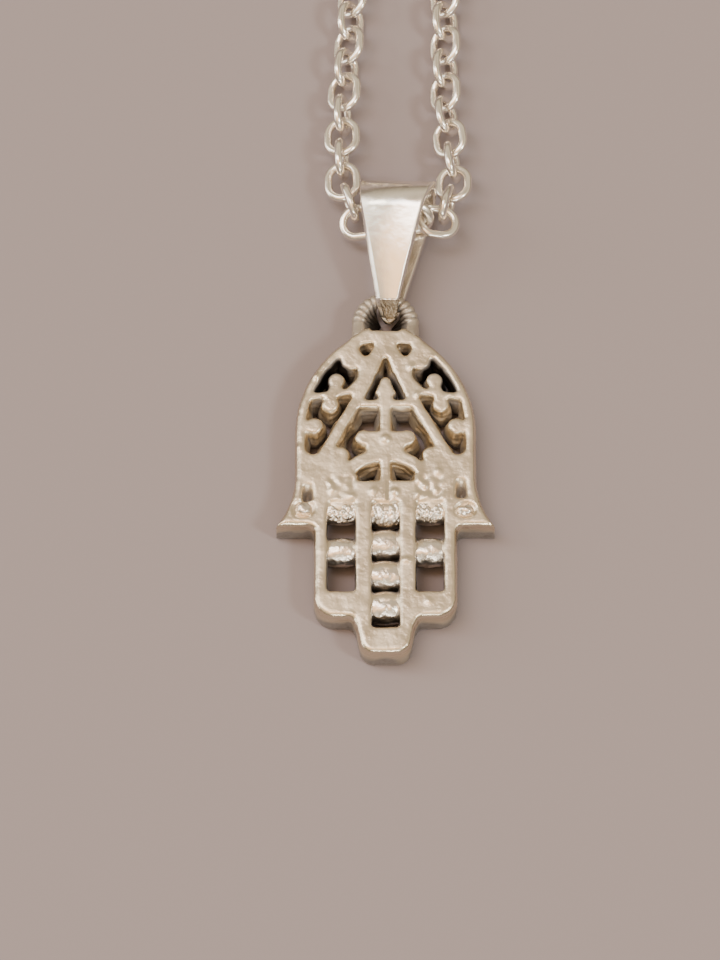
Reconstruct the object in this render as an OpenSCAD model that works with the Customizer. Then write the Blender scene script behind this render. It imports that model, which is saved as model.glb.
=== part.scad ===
// Hamsa pendant: a pierced silver hand with a cast ring, a folded bail and its cable chain.
// The hand lies on its back, fingers towards -Y, and the chain lies round a neck's opening at +Y.

/* [Hand] */
// Width across the palm
palm_w = 10.96; // [9.5:0.5:13]
// Thickness of the cast hand
hand_t = 2.1; // [1.7:0.1:2.6]
// Radius of each side of the pointed arch
arch_r = 7.5; // [6.5:0.25:9]
// Height above the thumbs where the arch starts
spring_y = 6.35; // [5:0.25:8]
// How far each thumb reaches past the palm
thumb_reach = 1.17; // [0.6:0.1:1.8]
// Height over which a thumb flares out
thumb_rise = 3.5; // [2:0.25:4.5]
// Width of the block of fingers
block_w = 8.66; // [8:0.25:9.5]
// Length of the outer fingers below the thumbs
block_l = 6.05; // [5.4:0.25:6.5]
// Corner radius of the outer fingers
block_r = 1.25; // [0.6:0.1:1.6]
// Width of the middle finger where it leaves the others
finger_root_w = 3.8; // [3.2:0.2:4.2]
// Width of the middle finger at its end
finger_tip_w = 3.2; // [2.6:0.2:3.4]
// Length of the middle finger below the thumbs
finger_l = 8.43; // [7.8:0.25:10]
// Corner radius of the middle finger's end
finger_r = 0.9; // [0.4:0.1:1.2]
// Radius of the hollow corners between fingers and thumbs
nook_r = 0.4; // [0.2:0.1:0.6]

/* [Piercing] */
// Width of the rim left round the pierced arch
rim_w = 0.62; // [0.4:0.05:0.9]
// Width of the slanting legs
leg_w = 0.68; // [0.4:0.05:0.9]
// Width of the bar across the legs
bar_w = 0.53; // [0.35:0.05:0.7]
// Width of the upright post below the bar
post_w = 0.62; // [0.4:0.05:0.8]
// Width of the arms of the side crosses
arm_w = 0.44; // [0.3:0.05:0.6]
// Radius of the small arch below the flower
low_arch_r = 2.5; // [2.2:0.1:2.7]
// Width of the small arch's band
low_arch_w = 0.85; // [0.5:0.05:1]
// Radius of the flower's raised middle
flower_r = 0.36; // [0.25:0.02:0.5]

/* [Finger slots] */
// Width of the two side slots
slot_w = 1.72; // [1.3:0.1:1.9]
// Distance of a side slot from the middle
slot_x = 2.68; // [2.5:0.05:2.8]
// Top of the side slots, above the thumbs
slot_top = 3.14; // [2.6:0.1:3.4]
// Bottom of the side slots, below the thumbs
slot_end = 4.33; // [4:0.1:4.8]
// Width of the middle slot
mid_slot_w = 1.7; // [1.3:0.1:1.9]
// Top of the middle slot, above the thumbs
mid_slot_top = 2.4; // [1.8:0.1:2.5]
// Bottom of the middle slot, below the thumbs
mid_slot_end = 6.73; // [6.4:0.1:7]
// Radius of the beads across the slots
bead_r = 0.82; // [0.7:0.02:0.9]
// Radius of a bead where it meets the slot's wall
bead_end_r = 0.66; // [0.5:0.02:0.7]
// Depth of the sunk beds above the open slots
bed_depth = 0.75; // [0.4:0.05:1]
// How far the beads' tops lie below the face
bead_sink = 0.08; // [0:0.02:0.3]

/* [Thumb pits] */
// Distance of the pits from the middle
pit_x = 4.85; // [4.7:0.05:5]
// Height of the pits' round ends above the thumbs
pit_y = 1.1; // [0.9:0.1:1.4]
// Radius of a pit's round end
pit_r = 0.6; // [0.4:0.05:0.65]
// Length of a pit from its round end to its point
pit_l = 1.6; // [1.2:0.1:2]
// Radius of the hole through each pit
pit_hole_r = 0.26; // [0.15:0.01:0.3]

/* [Ring] */
// Radius of the ring's middle line
ring_r = 1.58; // [1.45:0.05:1.8]
// Thickness of the ring's rope
ring_wire = 0.86; // [0.8:0.02:0.96]
// Height of the ring's middle above the arch's point
ring_rise = 0.23; // [0:0.05:0.5]
// Height of the ring's middle above the back of the hand
ring_z = 1.32; // [1.28:0.02:1.5]
// Depth below the ring's middle where the arch's point is cut flat
ring_flat = 0.75; // [0.5:0.05:0.9]

/* [Bail] */
// Width of the bail across its fold
bail_w = 4.68; // [3.6:0.2:5.4]
// Width of the bail's tip
bail_tip_w = 0.86; // [0.7:0.02:0.96]
// Distance from the ring's rope to the middle of the bail's eye
bail_l = 5.6; // [5:0.2:7]
// Length of the closed tip past the ring's rope
bail_tip_l = 1.5; // [1.3:0.05:1.6]
// Inner radius of the eye
eye_r = 1.45; // [1.42:0.02:1.7]
// Thickness of the folded strip
strip_t = 0.5; // [0.4:0.05:0.56]
// Angle by which the bail rolls onto its edge
bail_roll = 12; // [6:1:13]
// Angle by which the bail leans to the side
bail_lean = 4.6; // [0:0.2:5]
// Angle by which the bail has slid round the ring
bail_slide = 12; // [0:1:14]
// Gap between the ring's rope and the folded strip
ring_fit = 0.1; // [0.08:0.01:0.16]

/* [Chain] */
// Outside length of a link
link_len = 2.65; // [2.55:0.05:3.2]
// Outside width of a link
link_w = 2.2; // [2.1:0.02:2.24]
// Thickness of a link's wire
wire_d = 0.45; // [0.38:0.01:0.46]
// Gap between two links pulled straight
link_gap = 0.14; // [0.12:0.01:0.16]
// Links on each side of the bail's middle, an odd number so that the last ones cross the clasp's loops
side_links = 121; // [61:2:121]

/* [Clasp] */
// Outside diameter of the spring ring
clasp_d = 5.6; // [5:0.2:7]
// Thickness of the spring ring
clasp_wire = 0.9; // [0.8:0.05:1]
// Outside diameter of the spring ring's small loop
loop_d = 2.6; // [2.5:0.1:3]
// Thickness of the small loop's wire
loop_wire = 0.5; // [0.4:0.05:0.5]
// Outside diameter of the end ring
end_ring_d = 3.8; // [3.7:0.1:4.2]
// Thickness of the end ring's wire
end_ring_wire = 0.5; // [0.4:0.05:0.5]

/* [Hidden] */
$fn = 96;
CAST_SILVER = [0.74, 0.68, 0.58];
POLISHED_SILVER = [0.86, 0.83, 0.78];

// Past a face that a cut runs through, and into a wall that a bead joins
past = 1;
root = 0.12;

// The origin lies on the back of the hand, in the band between piercing and slots
origin_y = 2.7;

half = palm_w / 2;
arch_x = arch_r - half;
tip_y = spring_y + sqrt(arch_r * arch_r - arch_x * arch_x);
ring_y = tip_y + ring_rise;
top_z = hand_t - bead_sink;

// Places in the piercing are shares of half the palm's width and of the arch's height
function at(p) = [p[0] * half, p[1] * tip_y];
function both(points) = [for (p = points) at(p)];

// Round lobes: across, up, radius
LOBES = [
    [0.785, 0.492, 0.53],
    [0.383, 0.815, 0.62],
    [0.544, 0.715, 0.50],
    [0.611, 0.597, 0.52],
    [0.237, 0.433, 0.53],
    [0.496, 0.352, 0.50],
];

// Straight straps: start across, start up, end across, end up, width
STRAPS = [
    [0.300, 0.632, 0.650, 0.372, leg_w],
    [0.960, 0.628, 0.330, 0.666, arm_w],
    [0.544, 0.715, 0.611, 0.597, 0.62],
    [0.785, 0.492, 0.960, 0.492, 0.80],
    [0.000, 0.434, 0.237, 0.434, 0.86],
    [0.000, 0.410, 0.000, 0.340, 2.30],
];

// Corners of the gable, of the opening inside it and of the small holes beside its top
GABLE = [[0, 0.93], [0.140, 0.900], [0.305, 0.800], [0.305, 0.731], [0.440, 0.676], [0.250, 0.590],
    [0, 0.590]];
GABLE_HOLE = [[0, 0.838], [0.237, 0.621], [0, 0.621]];
TOP_HOLE = [[0.120, 0.898], [0.264, 0.898], [0.296, 0.878], [0.292, 0.862], [0.246, 0.838], [0.190, 0.838],
    [0.152, 0.864]];

// Heights in the piercing, as shares of the arch's height
crown_share = 0.833;
crossbar_share = 0.602;
low_arch_share = 0.133;
low_sill_share = 0.2215;
side_sill_share = 0.352;
side_foot_r = 0.46;
flower_share = 0.424;

// The bell that stands on the crossbar: radii, and half widths with their heights above the bar
bell_top_r = 0.33;
bell_top = 1.45;
bell_bead_r = 0.16;
bell_flare = [0.64, 0.74];
bell_waist = [0.4, 0.4];

module mirrored() {
    children();
    mirror([1, 0, 0]) children();
}

module strap(a, b, width) {
    along = (b - a) / norm(b - a);
    across = [-along[1], along[0]] * width / 2;
    polygon([a + across, b + across, b - across, a - across]);
}

// Outline of the hand, seen from above
module arch_shape(inset) {
    r = arch_r - inset;
    intersection() {
        translate([-arch_x, spring_y]) circle(r);
        translate([arch_x, spring_y]) circle(r);
        translate([-half, spring_y]) square([palm_w, arch_r]);
    }
}

module thumb_shape() {
    flare_r = (thumb_rise * thumb_rise + thumb_reach * thumb_reach) / (2 * thumb_reach);
    difference() {
        square([half + thumb_reach, thumb_rise]);
        translate([half + flare_r, thumb_rise]) circle(flare_r);
    }
}

module nook(corner) {
    difference() {
        translate(corner - [nook_r, nook_r]) square(2 * nook_r);
        translate(corner + [nook_r, -nook_r]) circle(nook_r);
        translate(corner + [0, -3 * nook_r]) square([3 * nook_r, 2 * nook_r]);
        translate(corner + [nook_r, -2 * nook_r]) square([2 * nook_r, 2 * nook_r]);
    }
}

module finger_block_shape() {
    translate([0, -block_l + block_r]) square([block_w / 2, block_l]);
    translate([0, -block_l]) square([block_w / 2 - block_r, block_l]);
    translate([block_w / 2 - block_r, -block_l + block_r]) circle(block_r);
}

// The side runs from the root, straight to where it touches the corner's arc
function touch(p, c, r) =
    let (d = c - p, away = atan2(-d[1], -d[0]), open = acos(r / norm(d)))
    c + r * [cos(away - open), sin(away - open)];

module middle_finger_shape() {
    corner = [finger_tip_w / 2 - finger_r, -finger_l + finger_r];
    side = [finger_root_w / 2, -block_l];
    polygon([[0, -block_l + past], side + [0, past], side, touch(side, corner, finger_r), corner,
        [corner[0], -finger_l], [0, -finger_l]]);
    translate(corner) circle(finger_r);
}

module hand_shape() {
    arch_shape(0);
    translate([-half, 0]) square([palm_w, spring_y]);
    mirrored() {
        thumb_shape();
        finger_block_shape();
        middle_finger_shape();
        nook([block_w / 2, 0]);
        nook([finger_root_w / 2, -block_l]);
    }
}

// Openings of the pierced arch
module window_shape() {
    arch_shape(rim_w);
    translate([-half + rim_w, 0]) square([palm_w - 2 * rim_w, spring_y]);
}

module bell_shape() {
    translate([0, crossbar_share * tip_y]) {
        translate([0, bell_top]) circle(bell_top_r);
        polygon([[0, bell_top], [bell_top_r, bell_top], bell_flare, bell_waist, [bell_waist[0], 0], [0, 0]]);
        translate(bell_flare - [bell_bead_r, 0]) circle(bell_bead_r);
    }
}

module gable_shape() {
    difference() {
        union() {
            polygon(both(GABLE));
            translate([0, crown_share * tip_y]) square([half * 0.55, tip_y]);
        }
        difference() {
            polygon(both(GABLE_HOLE));
            bell_shape();
        }
        polygon(both(TOP_HOLE));
    }
}

module low_arch_shape(r) {
    translate([0, low_arch_share * tip_y]) circle(r);
}

// Rounds off the foot of the opening between leg and rim
module side_foot_shape() {
    x = half - rim_w - side_foot_r;
    y = side_sill_share * tip_y;
    difference() {
        translate([x - 2 * side_foot_r, y - side_foot_r]) square([4 * side_foot_r, 2 * side_foot_r]);
        translate([x, y + side_foot_r]) circle(side_foot_r);
        translate([x - 3 * side_foot_r, y + side_foot_r]) square([6 * side_foot_r, side_foot_r]);
    }
}

module strapwork_shape() {
    mirrored() {
        gable_shape();
        for (s = STRAPS) strap(at([s[0], s[1]]), at([s[2], s[3]]), s[4]);
        for (l = LOBES) translate(at([l[0], l[1]])) circle(l[2]);
        translate([low_arch_r, 0]) square([half, side_sill_share * tip_y]);
        side_foot_shape();
    }
    translate([0, crossbar_share * tip_y]) square([0.6 * half, bar_w], center = true);
    translate([-post_w / 2, 0]) square([post_w, crossbar_share * tip_y]);
    difference() {
        low_arch_shape(low_arch_r + low_arch_w);
        difference() {
            low_arch_shape(low_arch_r);
            translate([-half, 0]) square([palm_w, low_sill_share * tip_y]);
            translate([-post_w / 2, 0]) square([post_w, tip_y]);
        }
    }
    translate([-half, 0]) square([palm_w, low_sill_share * tip_y]);
}

module openings_shape() {
    difference() {
        window_shape();
        strapwork_shape();
    }
}

// Beads cast across the slots, each a barrel lying along X
bead_pitch = 2.04;
rough_r = 0.9;
bed_z = hand_t - bed_depth;

module bead(y, width, r, end_r, z) {
    long = width / 2 + root;
    sag = r - end_r;
    curve = (long * long + sag * sag) / (2 * sag);
    translate([0, y, z]) rotate([0, 90, 0]) rotate_extrude() intersection() {
        translate([r - curve, 0]) circle(curve);
        translate([0, -long]) square([r, 2 * long]);
    }
}

// Beads of a side slot below the thumbs, and of its bed: height above the thumbs
SIDE_BEADS = [-1.36];
BED_BEADS = [1.5, 2.72];
bed_end = 0.95;
small_bead = 0.84;
MIDDLE_BEADS = [for (i = [1 : 3]) 1.22 - i * bead_pitch];

module side_slot() {
    translate([slot_x - slot_w / 2, -slot_end, -past]) cube([slot_w, slot_end + bed_end, hand_t + 2 * past]);
    translate([slot_x - slot_w / 2, -slot_end, bed_z]) cube([slot_w, slot_end + slot_top, hand_t]);
}

module middle_slot() {
    translate([-mid_slot_w / 2, -mid_slot_end, -past])
        cube([mid_slot_w, mid_slot_end + mid_slot_top, hand_t + 2 * past]);
}

module side_beads() {
    translate([slot_x, 0, 0]) {
        for (y = SIDE_BEADS) bead(y, slot_w, bead_r, bead_end_r, top_z - bead_r);
        for (y = BED_BEADS)
            bead(y, slot_w, small_bead * bead_r, small_bead * bead_end_r, top_z - small_bead * bead_r);
    }
}

module middle_beads() {
    for (y = MIDDLE_BEADS) bead(y, mid_slot_w, bead_r, bead_end_r, top_z - bead_r);
    bead(mid_slot_top - 1.12, mid_slot_w, rough_r, bead_end_r, top_z - rough_r);
    bead(mid_slot_top - 0.2, mid_slot_w, small_bead * bead_r, small_bead * bead_end_r, top_z - rough_r);
}

// A pit by each thumb: a sunk drop shape with a hole through its point and a bead in its round end
pit_depth = 0.6;
pit_bead_r = 0.5;
pit_point_r = 0.34;
pit_point = [pit_x - 0.2, pit_y + pit_l - pit_point_r];

module pit() {
    round_end = [pit_x, pit_y];
    translate([0, 0, hand_t - pit_depth]) linear_extrude(pit_depth + past) {
        translate(round_end) circle(pit_r);
        translate(pit_point) circle(pit_point_r);
        polygon([round_end - [pit_r, 0], round_end + [pit_r, 0], pit_point + [pit_point_r, 0],
            pit_point - [pit_point_r, 0]]);
    }
    translate([pit_point[0], pit_point[1] - 0.3, -past]) cylinder(r = pit_hole_r, h = hand_t + past);
}

module pit_bead() {
    translate([pit_x, pit_y, hand_t - pit_bead_r]) sphere(pit_bead_r);
}

// The ring's rope is a circle of close-set grains, cast in one with the arch
grain_step = 0.523;

module rope_ring() {
    grains = round(180 / asin(grain_step * ring_wire / (2 * ring_r)));
    translate([0, ring_y, ring_z]) for (i = [0 : grains - 1])
        rotate([0, 0, (i + 0.5) * 360 / grains]) translate([ring_r, 0, 0]) sphere(ring_wire / 2);
}

module ring_cut() {
    translate([0, 0, -past]) linear_extrude(hand_t + 2 * past) intersection() {
        translate([0, ring_y]) circle(ring_r - ring_wire / 2);
        translate([-half, ring_y - ring_flat]) square([palm_w, palm_w]);
    }
}

module placed() {
    translate([0, -origin_y, 0]) children();
}

module hand() {
    color(CAST_SILVER) placed() {
        difference() {
            union() {
                linear_extrude(hand_t) difference() {
                    hand_shape();
                    openings_shape();
                }
                rope_ring();
            }
            ring_cut();
            mirrored() {
                side_slot();
                pit();
            }
            middle_slot();
        }
        mirrored() {
            side_beads();
            pit_bead();
        }
        middle_beads();
        translate([0, flower_share * tip_y, hand_t - flower_r / 2]) sphere(flower_r);
    }
}

// The bail is a strip folded round the eye, both leaves closing in one tip through the ring.
// In its own frame the eye's middle is the origin, Y runs away from the ring and Z out of the front leaf.
fold_r = eye_r + strip_t;
bail_slope = (bail_w - bail_tip_w) / 2 / (fold_r + bail_l + bail_tip_l);
ring_edge = bail_w / 2 - (fold_r + bail_l) * bail_slope;
pocket_r = ring_wire / 2 + ring_edge * sin(bail_roll) + ring_fit;
pocket_sag = ring_r - sqrt(ring_r * ring_r - ring_edge * ring_edge);
knee = [-bail_l + 0.1, pocket_r + strip_t];
nose_r = 0.3;
nose = [-bail_l - bail_tip_l + nose_r, 0];

// The bail pitches up from the ring until the edge of its fold lies on the ground
floor_gap = 0.05;
eye_drop = (bail_w / 2 - fold_r * bail_slope) * sin(bail_roll) + fold_r * cos(bail_roll);
bail_pitch = atan2(eye_drop, bail_l)
    - asin((ring_z - floor_gap) / sqrt(bail_l * bail_l + eye_drop * eye_drop));

function turn_x(a, p) = [p[0], p[1] * cos(a) - p[2] * sin(a), p[1] * sin(a) + p[2] * cos(a)];
function turn_y(a, p) = [p[0] * cos(a) + p[2] * sin(a), p[1], -p[0] * sin(a) + p[2] * cos(a)];
function turn_z(a, p) = [p[0] * cos(a) - p[1] * sin(a), p[0] * sin(a) + p[1] * cos(a), p[2]];
function bail_turn(p) = turn_z(-bail_lean, turn_x(bail_pitch, turn_y(-bail_roll, p)));

rope_top = [ring_r * sin(bail_slide), ring_y + ring_r * cos(bail_slide), ring_z];
eye = rope_top + bail_turn([0, bail_l, 0]);

module leaves_shape(end, end_r, big_r) {
    circle(big_r);
    lift = (big_r - end_r) / norm(end);
    up = [-lift, sqrt(1 - lift * lift)];
    down = [-lift, -up[1]];
    polygon([up * big_r, end + up * end_r, end + down * end_r, down * big_r]);
    translate(end) circle(end_r);
}

// A leaf's outside runs straight from the fold to the knee, then down the nose
module strip_shape() {
    touch_top = touch(knee, [0, 0], fold_r);
    circle(fold_r);
    polygon([touch_top, knee, nose + [0, nose_r], nose - [0, nose_r], [knee[0], -knee[1]],
        [touch_top[0], -touch_top[1]]]);
    translate(nose) circle(nose_r);
}

module bail_side_shape() {
    difference() {
        strip_shape();
        leaves_shape([-bail_l - pocket_sag, 0], pocket_r, eye_r);
    }
}

// The rounded tip is drawn with flats, so that the outline is one shape
tip_flats = 12;

module bail_front_shape() {
    tip_r = bail_tip_w / 2;
    end = -bail_l - bail_tip_l + tip_r;
    tip = [for (i = [0 : tip_flats]) let (a = 180 * i / tip_flats) [tip_r * cos(a), end - tip_r * sin(a)]];
    polygon(concat([[-bail_w / 2, fold_r], [-bail_w / 2, fold_r + past], [bail_w / 2, fold_r + past],
        [bail_w / 2, fold_r]], tip));
}

module bail() {
    color(POLISHED_SILVER) placed() translate(eye) rotate([0, 0, -bail_lean]) rotate([bail_pitch, 0, 0])
        rotate([0, -bail_roll, 0]) intersection() {
            rotate([90, 0, 90]) linear_extrude(2 * bail_w, center = true) bail_side_shape();
            linear_extrude(4 * fold_r, center = true) bail_front_shape();
        }
}

// A link of round wire: two half rings and two straight sides. The wire is drawn with six sides.
wire_sides = 6;
bend_r = (link_w - wire_d) / 2;
straight = link_len - link_w;

module wire_shape(d) {
    circle(d = d, $fn = wire_sides);
}

module link() {
    for (side = [0, 180]) rotate([0, 0, side]) {
        translate([straight / 2, 0, 0]) rotate([0, 0, -90])
            rotate_extrude(angle = 180, $fn = 24) translate([bend_r, 0]) wire_shape(wire_d);
        translate([-straight / 2, bend_r, 0]) rotate([90, 0, 90]) linear_extrude(straight) wire_shape(wire_d);
    }
}

module plain_ring(d, wire) {
    rotate_extrude(angle = 360) translate([(d - wire) / 2, 0]) circle(d = wire);
}

// The clasp spans from the last link on the right to the last on the left
loop_x = clasp_d / 2 + loop_d / 2 - 0.8 * loop_wire;
clasp_reach = loop_x + loop_d / 2 - loop_wire - link_gap / 2;
hook_reach = clasp_d / 2 - clasp_wire - link_gap;
ring_span = end_ring_d - 2 * end_ring_wire - 1.5 * link_gap;
clasp_span = clasp_reach + hook_reach + ring_span;

// The links pull straight at this pitch
pitch = link_len - 2 * wire_d - link_gap;

// The first links on each side turn at the bail's edge. Columns: heading, climb and roll.
LEFT_TURN = [
    [0, -7, -55],
    [0, -18, 10],
    [72, -10, 93],
    [88, -3, 12],
];
RIGHT_TURN = [
    [4, 6, 60],
    [-3, -12, -4],
    [72, -24, 82],
    [88, -10, -12],
];
turn_links = len(LEFT_TURN);

// Middles of the two links that meet in the eye: across and away from the chain's middle, and height
LEFT_FIRST = [-0.7, 0.24, 2.1];
RIGHT_FIRST = [0.9, 0.34, 2.32];

// The chain hangs in the eye this far towards the tip, and its route's middle lies beside it
chain_shift = 0.72;
chain_start = eye + bail_turn([0, -chain_shift, 0]);
route_x = chain_start[0] - 0.22;

// Where the strands start beside the bail
strand_x = 3.17;
strand_y = 3.86;
chain_half = (side_links - turn_links) * pitch + clasp_span / 2;

// Route of each half in plan from there: up beside the bail, outwards, and round the neck.
// The long leg and the great arc close the loop at the middle of the clasp.
strand = 14;
flare_angle = 35;
flare_bend_r = 20;
clasp_run = clasp_span / 2 + 2;
flare = flare_angle * PI / 180;
across = strand_x + flare_bend_r * (1 - cos(flare_angle)) - clasp_run;
left_over = chain_half - strand - flare_bend_r * flare - clasp_run;
great_r = (left_over + across / sin(flare_angle)) / (1 / tan(flare_angle) + PI / 2 + flare);
long_leg = (great_r * cos(flare_angle) - across) / sin(flare_angle);

// Rows of the route: length, turn to the left in degrees
ROUTE = [
    [strand, 0],
    [flare_bend_r * flare, -flare_angle],
    [long_leg, 0],
    [great_r * (PI / 2 + flare), 90 + flare_angle],
    [clasp_run, 0],
];

function stepped(p, heading, row, s) = row[1] == 0
    ? [p + s * [cos(heading), sin(heading)], heading]
    : let (r = row[0] / (row[1] * PI / 180), to = heading + row[1] * s / row[0])
        [p + r * [sin(to) - sin(heading), cos(heading) - cos(to)], to];
function walked(s, i = 0, p = [strand_x, strand_y], heading = 90) =
    let (row = ROUTE[i])
    s <= row[0] || i == len(ROUTE) - 1 ? stepped(p, heading, row, s)[0]
    : let (next = stepped(p, heading, row, row[0])) walked(s - row[0], i + 1, next[0], next[1]);

// How the chain lies on its route, chosen by hand. Columns: distance along the route, sway to the
// right, height of the wire's middle above the ground, roll of the links.
clasp_z = 1.45;
lie_z = 0.87;
LEFT_LIE = [
    [0, 0, 1.08, 14],
    [2.4, 0, 1.08, 13],
    [5.6, 0.13, 1.04, 28],
    [8.8, 0.45, 0.97, 40],
    [15, 0.85, 0.93, 41],
    [28, 0.6, 0.9, 43],
    [42, 0.4, lie_z, 45],
    [63, 0, lie_z, 45],
    [chain_half - 14, 0, lie_z, 45],
    [chain_half - 5, 0, clasp_z, 45],
];
RIGHT_LIE = [
    [0, 0, 1.1, 13],
    [2.4, 0, 1.06, 26],
    [5.6, 0, 0.97, 37],
    [15, 0, 0.93, 41],
    [28, 0, 0.9, 43],
    [42, 0, lie_z, 45],
    [chain_half - 14, 0, lie_z, 45],
    [chain_half - 5, 0, clasp_z, 0],
];

function column(table, c) = [for (row = table) [row[0], row[c]]];

// Each link of the turn hangs in the one before: from bend to bend the way lies in both links' planes
bend_reach = pitch - straight;

function link_turn(side, lie, p) =
    turn_z(side > 0 ? lie[0] : 180 - lie[0], turn_y(-lie[1], turn_x(side * lie[2], p)));
function ahead(side, lie) = link_turn(side, lie, [1, 0, 0]);
function way_on(side, a, b) =
    let (w = cross(link_turn(side, a, [0, 0, 1]), link_turn(side, b, [0, 0, 1])))
    (w * ahead(side, a) < 0 ? -1 : 1) * w / norm(w);
function turn_place(side, turn, first, i) = i == 0
    ? [chain_start[0], chain_start[1], 0] + first
    : turn_place(side, turn, first, i - 1) + bend_reach * way_on(side, turn[i - 1], turn[i])
        + straight / 2 * (ahead(side, turn[i - 1]) + ahead(side, turn[i]));

// Place of a joint between two links past the turn
function on_route(joint, side, lie) =
    let (s = (joint - turn_links) * pitch, p = walked(s))
    [route_x + side * p[0] + lookup(s, column(lie, 1)),
     chain_start[1] + p[1],
     lookup(s, column(lie, 2))];

// The strands start where the turns end and settle on their route over the first links
settle_links = 3;
function settled(joint) = min(1, (joint - turn_links) / settle_links);
function joint_at(joint, side, lie, start) =
    on_route(joint, side, lie) + (1 - settled(joint)) * (start - on_route(turn_links, side, lie));

module link_between(a, b, roll) {
    d = b - a;
    translate((a + b) / 2) rotate([roll, -asin(d[2] / norm(d)), atan2(d[1], d[0])]) link();
}

module half_chain(side, turn, first, lie) {
    last = turn_links - 1;
    start = turn_place(side, turn, first, last) + pitch / 2 * ahead(side, turn[last]);
    for (i = [0 : last])
        translate(turn_place(side, turn, first, i))
            rotate([side * turn[i][2], -turn[i][1], side > 0 ? turn[i][0] : 180 - turn[i][0]]) link();
    for (i = [turn_links : side_links - 1])
        link_between(joint_at(i, side, lie, start), joint_at(i + 1, side, lie, start),
            (i % 2) * 90 + 90 - lookup((i - turn_links + 0.5) * pitch, column(lie, 3)));
}

module chain_left() {
    color(POLISHED_SILVER) placed() half_chain(-1, LEFT_TURN, LEFT_FIRST, LEFT_LIE);
}

module chain_right() {
    color(POLISHED_SILVER) placed() half_chain(1, RIGHT_TURN, RIGHT_FIRST, RIGHT_LIE);
}

// Spring ring and end ring lie in line with the last links, the end ring rolled like the strands
ring_roll = 45;
clasp_at = [route_x, chain_start[1] + walked(chain_half)[1], clasp_z];
clasp_x = clasp_span / 2 - clasp_reach;

module clasp() {
    color(POLISHED_SILVER) placed() translate(clasp_at + [clasp_x, 0, 0]) {
        plain_ring(clasp_d, clasp_wire);
        translate([loop_x, 0, 0]) plain_ring(loop_d, loop_wire);
    }
}

module end_ring() {
    color(POLISHED_SILVER) placed()
        translate(clasp_at + [clasp_x - hook_reach - ring_span / 2, 0, 0]) rotate([-ring_roll, 0, 0])
            plain_ring(end_ring_d, end_ring_wire);
}

hand();
bail();
chain_left();
chain_right();
clasp();
end_ring();
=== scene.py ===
import math

import bmesh
import bpy
import numpy as np
from mathutils import Euler, Matrix, Vector, noise
from mathutils.bvhtree import BVHTree
from mathutils.kdtree import KDTree


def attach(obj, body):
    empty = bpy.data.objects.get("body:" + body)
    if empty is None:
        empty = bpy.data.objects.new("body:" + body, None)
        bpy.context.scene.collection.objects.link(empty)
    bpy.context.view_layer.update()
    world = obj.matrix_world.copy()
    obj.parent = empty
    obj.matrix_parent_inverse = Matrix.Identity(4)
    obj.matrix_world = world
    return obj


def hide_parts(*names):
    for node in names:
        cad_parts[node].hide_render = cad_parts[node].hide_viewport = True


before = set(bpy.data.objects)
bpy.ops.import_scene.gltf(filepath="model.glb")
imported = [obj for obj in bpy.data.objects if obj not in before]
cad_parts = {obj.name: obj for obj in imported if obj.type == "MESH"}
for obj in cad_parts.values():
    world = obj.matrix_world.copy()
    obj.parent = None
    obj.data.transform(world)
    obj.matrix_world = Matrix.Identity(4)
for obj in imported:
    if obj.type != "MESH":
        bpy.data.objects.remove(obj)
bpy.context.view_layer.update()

# The hand is one sand casting in sterling silver: plate, piercing, thumbs and fingers in one.
# It was tumbled after casting, so every edge is soft, the faces keep a fine grain, and the walls
# of the openings stay rough and dark from the mould and from tarnish; their colour also carries painted
# shade.
MM = 0.001
hand_top = 2.1
casting_origin_y = 2.7
voxel = 0.1
weld = 0.0005


def new_object(name, mesh):
    """A mesh in millimetres becomes an object in metres at the origin."""
    mesh.transform(Matrix.Scale(MM, 4))
    piece = bpy.data.objects.new(name, mesh)
    bpy.context.scene.collection.objects.link(piece)
    return piece


def baked(piece):
    """The mesh that a piece's modifiers make, as a plain mesh."""
    bpy.context.view_layer.update()
    view = bpy.context.evaluated_depsgraph_get()
    mesh = bpy.data.meshes.new_from_object(piece.evaluated_get(view), depsgraph=view)
    piece.modifiers.clear()
    return mesh


def points_of(mesh):
    flat = np.zeros(len(mesh.vertices) * 3)
    mesh.vertices.foreach_get("co", flat)
    return flat.reshape(-1, 3)


def normals_of(mesh):
    flat = np.zeros(len(mesh.vertices) * 3)
    mesh.vertex_normals.foreach_get("vector", flat)
    return flat.reshape(-1, 3)


def smooth_step(low, high, value):
    t = np.clip((value - low) / (high - low), 0, 1)
    return t * t * (3 - 2 * t)


def evened(mesh, values, times):
    """Averages a value per vertex with its neighbours' values, a few times over."""
    ends = np.zeros(len(mesh.edges) * 2, dtype=int)
    mesh.edges.foreach_get("vertices", ends)
    a, b = ends.reshape(-1, 2).T
    count = 1 + np.bincount(a, minlength=len(values)) + np.bincount(b, minlength=len(values))
    for _ in range(times):
        around = np.bincount(a, values[b], len(values)) + np.bincount(b, values[a], len(values))
        values = (values + around) / count
    return values


def keep_largest_shell(mesh):
    """Deletes the small closed voids that a remesh leaves inside the metal."""
    whole = bmesh.new()
    whole.from_mesh(mesh)
    left, shells = set(whole.verts), []
    while left:
        shell, reached = [], [left.pop()]
        while reached:
            vert = reached.pop()
            shell.append(vert)
            near = {edge.other_vert(vert) for edge in vert.link_edges} & left
            left -= near
            reached += near
        shells.append(shell)
    shells.sort(key=len)
    bmesh.ops.delete(whole, geom=[vert for shell in shells[:-1] for vert in shell], context="VERTS")
    whole.to_mesh(mesh)
    whole.free()


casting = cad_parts["hand"].data.copy()
casting.transform(Matrix.Scale(1 / MM, 4))
welded = bmesh.new()
welded.from_mesh(casting)
bmesh.ops.remove_doubles(welded, verts=welded.verts, dist=weld)
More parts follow.
